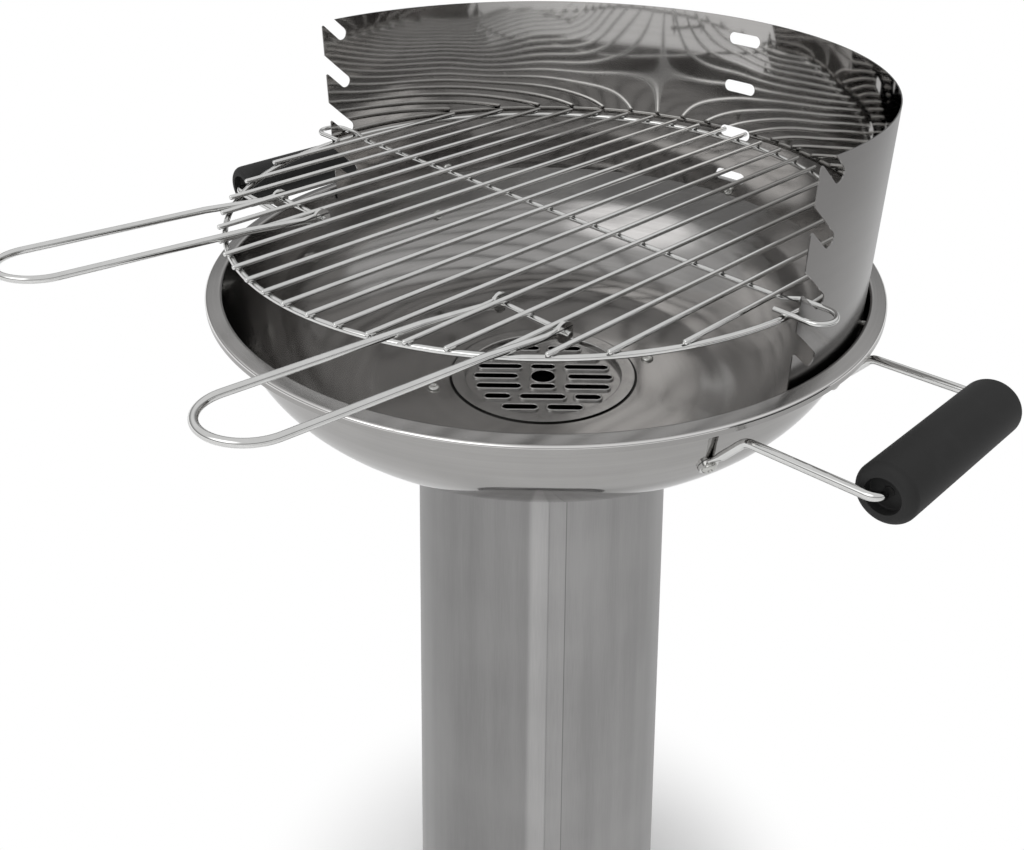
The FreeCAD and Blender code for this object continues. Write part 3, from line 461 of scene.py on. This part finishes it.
# The section of a sheet: its inner face, and the same face moved out by the sheet's thickness along its
# normal. Points of the path that fall on one place are left out.
def bentSheet(corners, radii, sheet, perArc):
    inner = roundedPath(corners, radii, perArc)
    keep = np.concatenate([[True], np.linalg.norm(np.diff(inner, axis=0), axis=1) > samePoint])
    inner = inner[keep]
    steps = np.diff(inner, axis=0)
    steps /= np.linalg.norm(steps, axis=1)[:, None]
    along = np.concatenate([steps[:1], steps[:-1] + steps[1:], steps[-1:]])
    along /= np.linalg.norm(along, axis=1)[:, None]
    right = np.stack([along[:, 1], -along[:, 0]], -1)
    return np.concatenate([inner, (inner + right * sheet)[::-1]])


# Fire bowl: the flat floor, the leaning wall and the rim that falls a little to its turned-down edge
foot = bowl["mouth"] - (bowl["rim"] - bowl["floor"]) * math.tan(math.radians(bowl["lean"]))
edge = bowl["rim"] - bowl["rimFall"]
section = bentSheet([(bowl["hole"], bowl["floor"]), (foot, bowl["floor"]), (bowl["mouth"], bowl["rim"]),
                     (bowl["rimRadius"], edge), (bowl["rimRadius"], edge - bowl["rimEdge"])],
                    [bowl["knee"], bowl["rimBend"], bowl["rimBend"]], bowl["sheet"], bowl["perArc"])
pressed = settle(revolved("fire_bowl_pressed", section * mm, bowl["sides"]), "fire_bowl")
finishOutside(pressed, finishes["bowl_back"], (bowl["rim"] + bowl["seenFrom"]) * mm)
print("bowl: section points", len(section))

# Sheets that keep their CAD shape with exact round normals. The column's sizes are in mm.
taper = {"top": 98, "foot": 126.2, "height": 700}
shield = smoothCopy("windshield")
roundNormals(shield, 0)
# Its outside faces take the darker copy of the steel, painted shade
finishOutside(shield, finishes["shield_back"], bowl["rim"] * mm)
column = smoothCopy("column_tube")
roundNormals(column, math.atan((taper["foot"] - taper["top"]) / taper["height"]))
for node in ("base_dish", "charcoal_plate", "side_wire_right", "side_wire_left", "side_grip_right",
             "side_grip_left", "grid_ring", "grid_rods", "grid_crossbar", "grid_hinge_wires",
             "grid_handle_right", "grid_handle_left"):
    smoothCopy(node)
for node, piece in frame["nodes"].items():
    for number in range(len(piece.material_slots)):
        piece.material_slots[number].material = finishes[slotOf[node]]
print("smooth copies done")


# The corners of a node's solids, one array for each solid: corners at one place are merged, and each takes
# the lowest number among its neighbours until the numbers no longer change
def solidsOf(node):
    mesh = frame["nodes"][node].data
    steps = np.round(listed(mesh.vertices, "co") / cadMerge)
    spots, place = np.unique(steps, axis=0, return_inverse=True)
    ends = place.ravel()[listed(mesh.edges, "vertices", 2, int)]
    number = np.arange(len(spots))
    while True:
        lowest = number.copy()
        for end in (0, 1):
            np.minimum.at(lowest, ends[:, end], number[ends[:, 1 - end]])
        lowest = lowest[lowest]
        if np.array_equal(lowest, number):
            break
        number = lowest
    return [spots[number == label] * cadMerge for label in np.unique(number)]


# Middle and axis of a round or six-sided solid: of the three spreads of its corners the odd one is along the
# axis
def axisOf(points):
    middle = points.mean(0)
    spreads, axes = np.linalg.eigh(np.cov((points - middle).T))
    return middle, axes[:, 0] if spreads[1] - spreads[0] > spreads[2] - spreads[1] else axes[:, 2]


# Two directions square to an axis and to each other, the first as level as it can be
def squareTo(axis):
    level = np.cross(axis, (0, 0, 1) if abs(axis[2]) < upright else (0, 1, 0))
    level /= np.linalg.norm(level)
    return level, np.cross(axis, level)


# Joins grids of points into one piece
def joined(name, grids, closedRows=False, closedColumns=False, smoothAngle=35):
    meshes = [surface(name, grid, closedRows, closedColumns) for grid in grids]
    work = bmesh.new()
    for made in meshes:
        work.from_mesh(made.data)
        old = made.data
        bpy.data.objects.remove(made)
        bpy.data.meshes.remove(old)
    mesh = bpy.data.meshes.new(name)
    work.to_mesh(mesh)
    work.free()
    return addPiece(name, mesh, smoothAngle)


# Screws: a domed head with a cross recess and a shank with a thread. Pitch and thread in mm, lengths of the
# head as shares of its radius or height.
screw = {"domePower": 2.6, "recessReach": 0.55, "recessWidth": 0.2, "recessSlope": 1.5, "recessEnd": 5,
         "recessDepth": 0.5, "pitch": 0.8, "thread": 0.3, "headRows": 20, "sides": 40, "rowsPerTurn": 5,
         "widest": 0.98, "tipShare": 0.1}


# Radius and height over the seat: along the dome (r/R)^p + (z/h)^p = 1, and down the shank a wave once per
# pitch that runs round as a helix. The recess lowers the dome inside two crossed bars that fade out.
def screwGrid(points):
    middle, axis = axisOf(points)
    along = (points - middle) @ axis
    away = np.linalg.norm(points - middle - along[:, None] * axis, axis=1)
    head = away > away.max() * screw["widest"]
    if along[head].mean() < (along.max() + along.min()) / 2:
        axis, along = -axis, -along
    seat, top, tip = along[head].min(), along.max(), along.min()
    radius, shank = away.max(), away[along < tip + (seat - tip) * screw["tipShare"]].max()
    rise = np.linspace(0, math.pi / 2, screw["headRows"])[:, None]
    turn = np.linspace(0, 2 * math.pi, screw["sides"], endpoint=False)[None]
    reach = radius * np.sin(rise) ** (2 / screw["domePower"]) + 0 * turn
    height = (top - seat) * np.cos(rise) ** (2 / screw["domePower"]) + 0 * turn
    sideways, forward = np.abs(reach * np.cos(turn) / radius), np.abs(reach * np.sin(turn) / radius)
    bars = [np.clip(screw["recessSlope"] - across / screw["recessWidth"], 0, 1)
            * np.clip(screw["recessEnd"] * (screw["recessReach"] - far), 0, 1)
            for across, far in ((sideways, forward), (forward, sideways))]
    height -= np.maximum(*bars) * (top - seat) * screw["recessDepth"]
    pitch = screw["pitch"] * mm
    rows = int((seat - tip) / pitch * screw["rowsPerTurn"])
    down = np.linspace(0, tip - seat, rows)[:, None] + 0 * turn
    wave = np.abs(((down / pitch + turn / (2 * math.pi)) % 1) * 2 - 1)
    fading = np.clip((down - (tip - seat)) / pitch, 0, 1)
    core = shank - screw["thread"] * mm * (1 - wave * fading)
    close = np.zeros((1, screw["sides"]))
    reach = np.concatenate([reach, core, close])
    height = np.concatenate([height, down, close + tip - seat])
    first, second = squareTo(axis)
    spot = middle + axis * seat
    return (spot + reach[..., None] * (np.cos(turn)[..., None] * first + np.sin(turn)[..., None] * second)
            + height[..., None] * axis)


# Nuts: the six-sided outline a / cos(angle from the middle of the flat), its corners cut by a shallow cone.
# The bore is a radius in mm.
nut = {"sides": 72, "chamfer": 0.5, "bore": 2.55}


def nutGrid(points):
    middle, axis = axisOf(points)
    along = (points - middle) @ axis
    flat = points - middle - along[:, None] * axis
    away = np.linalg.norm(flat, axis=1)
    corner = flat[away.argmax()] / away.max()
    apothem = away.max() * math.cos(math.pi / 6)
    turn = np.linspace(0, 2 * math.pi, nut["sides"], endpoint=False)
    outline = apothem / np.cos((turn % (math.pi / 3)) - math.pi / 6)
    half = (along.max() - along.min()) / 2
    cut = np.maximum(outline - apothem, 0) * nut["chamfer"]
    inner, near = np.full_like(turn, nut["bore"] * mm), np.minimum(outline, apothem)
    end = np.full_like(turn, half)
    reach = np.stack([inner, near, outline, outline, near, inner])
    height = np.stack([-end, -end, cut - half, half - cut, end, end])
    other = np.cross(axis, corner)
    spot = middle + axis * (along.max() + along.min()) / 2
    around = np.cos(turn)[None, :, None] * corner + np.sin(turn)[None, :, None] * other
    return spot + reach[..., None] * around + height[..., None] * axis


for node in [name for name in slotOf if name.endswith("_screws")]:
    settle(joined(node + "_cut", [screwGrid(solid) for solid in solidsOf(node)], closedColumns=True), node)
for node in [name for name in slotOf if name.endswith("_nuts")]:
    settle(joined(node + "_cut", [nutGrid(solid) for solid in solidsOf(node)], True, True, 25), node)
print("screws and nuts done")

# Spot welds of the grid: a flattened ball of metal where two wires touch. Reach and height in mm.
weld = {"reach": 1.5, "height": 1.1, "sides": 12, "rows": 8, "uneven": 0.25, "seed": 7}


def ballGrid(spot, reach, height):
    rise = np.linspace(0, math.pi, weld["rows"])[:, None]
    turn = np.linspace(0, 2 * math.pi, weld["sides"], endpoint=False)[None]
    ball = np.stack([np.sin(rise) * np.cos(turn) * reach, np.sin(rise) * np.sin(turn) * reach,
                     np.cos(rise) * height + 0 * turn], -1)
    return spot + ball


def weldSpots():
    ringLow, ringHigh = (np.array(corner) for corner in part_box("grid_ring"))
    barHigh = np.array(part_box("grid_crossbar")[1])
    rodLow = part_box("grid_rods")[0][2]
    wire = ringHigh[2] - ringLow[2]
    centre = (ringLow + ringHigh) / 2
    radius = (ringHigh[0] - ringLow[0] - wire) / 2
    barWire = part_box("grid_crossbar")[0][2]
    spots = []
    for rod in solidsOf("grid_rods"):
        x = rod[:, 0].mean()
        reach = math.sqrt(radius ** 2 - x ** 2)
        spots += [(x, centre[1] + reach, rodLow), (x, centre[1] - reach, rodLow)]
        spots.append((x, barHigh[1] - (rodLow - barWire) / 2, rodLow))
        for hinge in solidsOf("grid_hinge_wires"):
            if hinge[:, 0].min() < x < hinge[:, 0].max():
                spots.append((x, hinge[:, 1].mean(), rodLow))
    return spots


rng = np.random.default_rng(weld["seed"])
balls = [ballGrid(np.array(spot), weld["reach"] * mm * (1 + weld["uneven"] * rng.uniform(-1, 1)),
                  weld["height"] * mm * (1 + weld["uneven"] * rng.uniform(-1, 1))) for spot in weldSpots()]
settle(joined("grid_welds", balls, closedColumns=True), "grid_rods", False)
print("welds:", len(balls))

# Rolled lips of the charcoal plate: an ellipse carried round each slot, on the lip that the sheet has there.
# Sizes in mm, the turn of the slots in degrees. There are so many rows of slots each side of the middle row.
plate = {"dish": 61.4, "endMargin": 15.8, "slotWidth": 6.5, "long": 34.3, "short": 18.8, "edge": 7,
         "land": 8, "hole": 9.2, "holeLand": 11, "turn": 44.3, "rows": 3, "lip": 1.8, "overlap": 1.1,
         "rise": 0.8, "sink": 0.2, "top": 738.2, "sides": 12, "perEnd": 14}


# Points round a stadium whose straight sides run along x, and the way out at each: first the right half
# round, then the left one
def stadium(x, y, length, width):
    turn = np.linspace(-math.pi / 2, math.pi / 2, plate["perEnd"])
    radius, half = width / 2, (length - width) / 2
    right = np.stack([x + half + radius * np.cos(turn), y + radius * np.sin(turn)], -1)
    left = np.stack([x - half - radius * np.cos(turn), y - radius * np.sin(turn)], -1)
    way = np.stack([np.cos(turn), np.sin(turn)], -1)
    return np.concatenate([right, left]), np.concatenate([way, -way])


def lipGrid(x, y, length, width):
    outline, outward = stadium(x, y, length, width)
    rise = np.linspace(0, 2 * math.pi, plate["sides"], endpoint=False)
    away = plate["lip"] / 2 * (1 + plate["overlap"] * np.cos(rise))
    across = outline[:, None] + outward[:, None] * away[None, :, None]
    level = np.broadcast_to(plate["top"] + plate["rise"] * np.sin(rise) - plate["sink"], across.shape[:2])
    turn = math.radians(plate["turn"])
    spun = across @ np.array([[math.cos(turn), math.sin(turn)], [-math.sin(turn), math.cos(turn)]])
    return np.concatenate([spun, level[..., None]], -1) * mm


# The middle row has the round hole, the next two have a short and a long slot in their middle, the last none
pitch = (plate["dish"] - plate["endMargin"]) / plate["rows"]
middles = {1: plate["short"], 2: plate["long"]}
starts = [plate["hole"] + plate["holeLand"], plate["short"] / 2 + plate["land"],
          plate["long"] / 2 + plate["land"], plate["land"] / 2]
lips = [lipGrid(0, 0, 2 * plate["hole"], 2 * plate["hole"])]
for row in range(-plate["rows"], plate["rows"] + 1):
    outermost = abs(row) * pitch + plate["slotWidth"] / 2
    end = math.sqrt(plate["dish"] ** 2 - outermost ** 2) - plate["edge"]
    start = starts[abs(row)]
    for side in (-1, 1):
        lips.append(lipGrid(side * (start + end) / 2, row * pitch, end - start, plate["slotWidth"]))
    if abs(row) in middles:
        lips.append(lipGrid(0, row * pitch, middles[abs(row)], plate["slotWidth"]))
settle(joined("charcoal_plate_lips", lips, True, True, 60), "charcoal_plate", False)
print("plate lips:", len(lips))

# Camera at the photograph's place. Focal length, middle and picture in pixels, the sensor in mm.
view = {"place": (0.5062, -0.5169, 1.1658), "heading": 135.61, "pitch": 30.80, "roll": 0.19, "focal": 1061,
        "middle": (523.7, 380), "picture": (1024, 850), "sensor": 36, "nearest": 0.01}


def addCamera():
    camera = bpy.data.cameras.new("photoCamera")
    holder = bpy.data.objects.new("photoCamera", camera)
    bpy.context.scene.collection.objects.link(holder)
    heading, pitch, roll = (math.radians(view[key]) for key in ("heading", "pitch", "roll"))
    level = math.cos(pitch)
    ahead = Vector((math.cos(heading) * level, math.sin(heading) * level, -math.sin(pitch)))
    right = ahead.cross(Vector((0, 0, 1))).normalized()
    up = right.cross(ahead)
    tiltedRight = right * math.cos(roll) + up * math.sin(roll)
    tiltedUp = up * math.cos(roll) - right * math.sin(roll)
    axes = Matrix((tiltedRight, tiltedUp, -ahead)).transposed().to_4x4()
    holder.matrix_world = Matrix.Translation(view["place"]) @ axes
    width, height = view["picture"]
    camera.sensor_fit = "HORIZONTAL"
    camera.sensor_width = view["sensor"]
    camera.lens = view["focal"] / width * camera.sensor_width
    camera.shift_x = (width / 2 - view["middle"][0]) / width
    camera.shift_y = (view["middle"][1] - height / 2) / width
    camera.clip_start = view["nearest"]
    bpy.context.scene.camera = holder


addCamera()

# Studio: a white floor that keeps the soft shadow near the grill, a pale room and large soft lamps. What the
# metal mirrors is a grey wall, darker low down, with a brighter patch in the direction soft.
studio = {"floor": 8.0, "paper": ((0.92, 0.92, 0.92), (0.93, 0.93, 0.93)), "paperScale": 40.0,
          "fadeFrom": 0.17, "fadeTo": 0.36, "mirrorFrom": 0.5, "mirrorTo": 6.0, "litSide": (-0.5, -0.866, 0),
          "sideFrom": -0.6, "sideTo": 0.8, "centre": 0.1, "farSide": 0.55, "room": 0.55, "wall": 0.74,
          "low": 0.3, "lowFrom": 0.25, "lowTo": 0.5, "horizonFrom": 0.01, "horizonTo": 0.07,
          "soft": (0.029, -0.819, 0.574), "softFrom": 0.848, "softTo": 0.978, "softBright": 1.9,
          "aim": (0, 0, 0.83)}
lamps = {"key": {"at": (-0.5, -1.8, 2.7), "size": (1.6, 1.6), "power": 26},
         "fill": {"at": (1.8, -1.6, 1.6), "size": (1.0, 1.6), "power": 12},
         "back": {"at": (0.6, 2.4, 2.3), "size": (2.0, 1.0), "power": 16}}


def addFloor():
    half = studio["floor"]
    corners = np.array([[[-half, -half, 0], [half, -half, 0]], [[-half, half, 0], [half, half, 0]]], float)
    floor = surface("floor", corners)
    material, paint = newMaterial("floorWhite")
    at, (x, y, z) = paint.place()
    distance = (x * x + y * y) ** 0.5
    straight, mirrored = paint.rays()
    tint = paint.mix(paint.noise(at, studio["paperScale"]), *studio["paper"])
    paper = paint.node("ShaderNodeBsdfDiffuse", sockets={"Color": tint})
    side = paint.along(at, studio["litSide"]) / (distance + studio["centre"])
    side = side.step(studio["sideFrom"], studio["sideTo"])
    mirror = straight.math("MAXIMUM", side * (1 - studio["farSide"]) + studio["farSide"])
    glow = paint.node("ShaderNodeEmission", sockets={"Color": paint.vector(mirror, mirror, mirror)})
    fade = distance.step(studio["fadeFrom"], studio["fadeTo"]) * straight
    fade = fade + distance.step(studio["mirrorFrom"], studio["mirrorTo"]) * mirrored
    both = paint.node("ShaderNodeMixShader", sockets={0: fade, 1: paper, 2: glow})
    paint.node("ShaderNodeOutputMaterial", sockets={"Surface": both})
    floor.data.materials.append(material)


def addRoom():
    world = bpy.data.worlds.new("studioRoom")
    world.use_nodes = True
    bpy.context.scene.world = world
    paint = Paint(world.node_tree)
    toward = paint.node("ShaderNodeTexCoord", output="Generated")
    height = paint.node("ShaderNodeSeparateXYZ", sockets={0: toward}, output="Z")
    straight, mirrored = paint.rays()
    soft = paint.along(toward, studio["soft"]).step(studio["softFrom"], studio["softTo"])
    room, low, wall, bright = ((studio[name],) * 3 for name in ("room", "low", "wall", "softBright"))
    wall = paint.mix(height.step(studio["lowFrom"], studio["lowTo"]), low, paint.mix(soft, wall, bright))
    wall = paint.mix(height.step(studio["horizonFrom"], studio["horizonTo"]), (1, 1, 1), wall)
    seen = paint.mix(straight, paint.mix(mirrored, room, wall), (1, 1, 1))
    backdrop = paint.node("ShaderNodeBackground", sockets={"Color": seen})
    paint.node("ShaderNodeOutputWorld", sockets={"Surface": backdrop})


def addLamp(name, values):
    lamp = bpy.data.lights.new(name, "AREA")
    lamp.shape = "RECTANGLE"
    lamp.size, lamp.size_y = values["size"]
    lamp.energy = values["power"]
    holder = bpy.data.objects.new(name, lamp)
    bpy.context.scene.collection.objects.link(holder)
    holder.location = values["at"]
    holder.visible_glossy = False
    ahead = Vector(studio["aim"]) - Vector(values["at"])
    holder.rotation_euler = ahead.to_track_quat("-Z", "Y").to_euler()


addFloor()
addRoom()
for name, values in lamps.items():
    addLamp(name, values)
bpy.context.scene.view_settings.view_transform = "Standard"
print("studio done")
